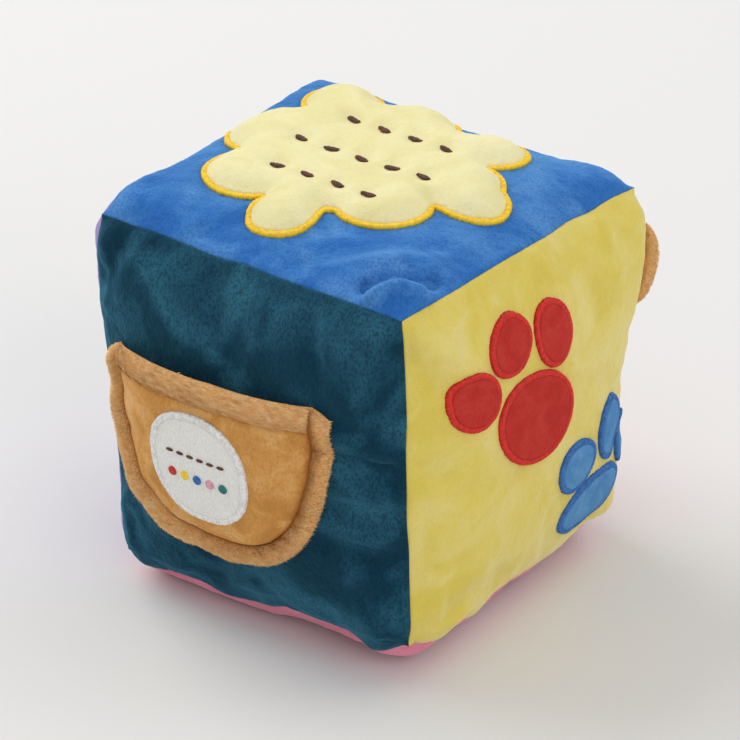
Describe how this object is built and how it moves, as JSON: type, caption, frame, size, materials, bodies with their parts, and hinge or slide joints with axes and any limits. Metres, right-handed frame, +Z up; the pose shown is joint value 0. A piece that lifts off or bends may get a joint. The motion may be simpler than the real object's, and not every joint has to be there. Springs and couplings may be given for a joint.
{
  "type": "dice rattle",
  "caption": "Soft stuffed plush cube rattle with a pocket, padded patches, a grab tab and a rattle capsule inside.",
  "frame": {"origin": "middle of the flat patch of the bottom panel that the cube stands on", "axes": "+Z up, -Y the face with the pocket, +X the face with the paw prints"},
  "size_m": [0.1583, 0.1643, 0.1609],
  "materials": {
    "blue_plush": "short pile plush",
    "teal_plush": "short pile plush",
    "yellow_plush": "short pile plush",
    "pink_plush": "short pile plush",
    "lavender_plush": "short pile plush",
    "red_plush": "short pile plush",
    "cream_plush": "short pile plush",
    "gold_satin": "satin stitch",
    "brown_thread": "embroidery thread",
    "tan_plush": "short pile plush",
    "white_satin": "satin",
    "red_felt": "felt with satin stitch",
    "blue_felt": "felt with satin stitch",
    "stuffing": "polyester fibre",
    "capsule_plastic": "smooth",
    "bead_plastic": "smooth"
  },
  "bodies": {
    "cube": {"top_panel": "blue_plush", "front_panel": "teal_plush", "right_panel": "yellow_plush", "bottom_panel": "pink_plush", "left_panel": "lavender_plush", "back_panel": "red_plush", "lower_stuffing": "stuffing", "upper_stuffing": "stuffing", "rattle_cup": "capsule_plastic", "rattle_lid": "capsule_plastic", "biscuit_patch": "cream_plush", "biscuit_border": "gold_satin", "biscuit_mark_1": "brown_thread", "biscuit_mark_2": "brown_thread", "biscuit_mark_3": "brown_thread", "biscuit_mark_4": "brown_thread", "biscuit_mark_5": "brown_thread", "biscuit_mark_6": "brown_thread", "biscuit_mark_7": "brown_thread", "biscuit_mark_8": "brown_thread", "biscuit_mark_9": "brown_thread", "biscuit_mark_10": "brown_thread", "biscuit_mark_11": "brown_thread", "biscuit_mark_12": "brown_thread", "biscuit_mark_13": "brown_thread", "pocket_front": "tan_plush", "pocket_hem": "tan_plush", "pocket_binding": "tan_plush", "pocket_label": "white_satin", "label_border": "white_satin", "red_pad": "red_felt", "red_pad_border": "red_felt", "red_toe_1": "red_felt", "red_toe_1_border": "red_felt", "red_toe_2": "red_felt", "red_toe_2_border": "red_felt", "red_toe_3": "red_felt", "red_toe_3_border": "red_felt", "blue_pad": "blue_felt", "blue_pad_border": "blue_felt", "blue_toe_1": "blue_felt", "blue_toe_1_border": "blue_felt", "blue_toe_2": "blue_felt", "blue_toe_2_border": "blue_felt", "blue_toe_3": "blue_felt", "blue_toe_3_border": "blue_felt"},
    "tab": {"tab_front_layer": "tan_plush", "tab_back_layer": "tan_plush"},
    "bead_1_body": {"bead_1": "bead_plastic"},
    "bead_2_body": {"bead_2": "bead_plastic"},
    "bead_3_body": {"bead_3": "bead_plastic"},
    "bead_4_body": {"bead_4": "bead_plastic"},
    "bead_5_body": {"bead_5": "bead_plastic"},
    "bead_6_body": {"bead_6": "bead_plastic"}
  },
  "joints": [
    {"name": "tab_fold", "type": "hinge", "parent": "cube", "child": "tab", "pos_m": [0.0678, 0.0681, 0.1098], "axis": [0.069, 0.0766, 0.9947], "range_deg": [-45, 45]},
    {"name": "bead_1_travel", "type": "slide", "parent": "cube", "child": "bead_1_body", "axis": [0, 0, 1], "range_m": [0, 0.0064]},
    {"name": "bead_2_travel", "type": "slide", "parent": "cube", "child": "bead_2_body", "axis": [0, 0, 1], "range_m": [0, 0.0064]},
    {"name": "bead_3_travel", "type": "slide", "parent": "cube", "child": "bead_3_body", "axis": [0, 0, 1], "range_m": [0, 0.0064]},
    {"name": "bead_4_travel", "type": "slide", "parent": "cube", "child": "bead_4_body", "axis": [0, 0, 1], "range_m": [0, 0.0064]},
    {"name": "bead_5_travel", "type": "slide", "parent": "cube", "child": "bead_5_body", "axis": [0, 0, 1], "range_m": [0, 0.0064]},
    {"name": "bead_6_travel", "type": "slide", "parent": "cube", "child": "bead_6_body", "axis": [0, 0, 1], "range_m": [0, 0.0064]}
  ]
}
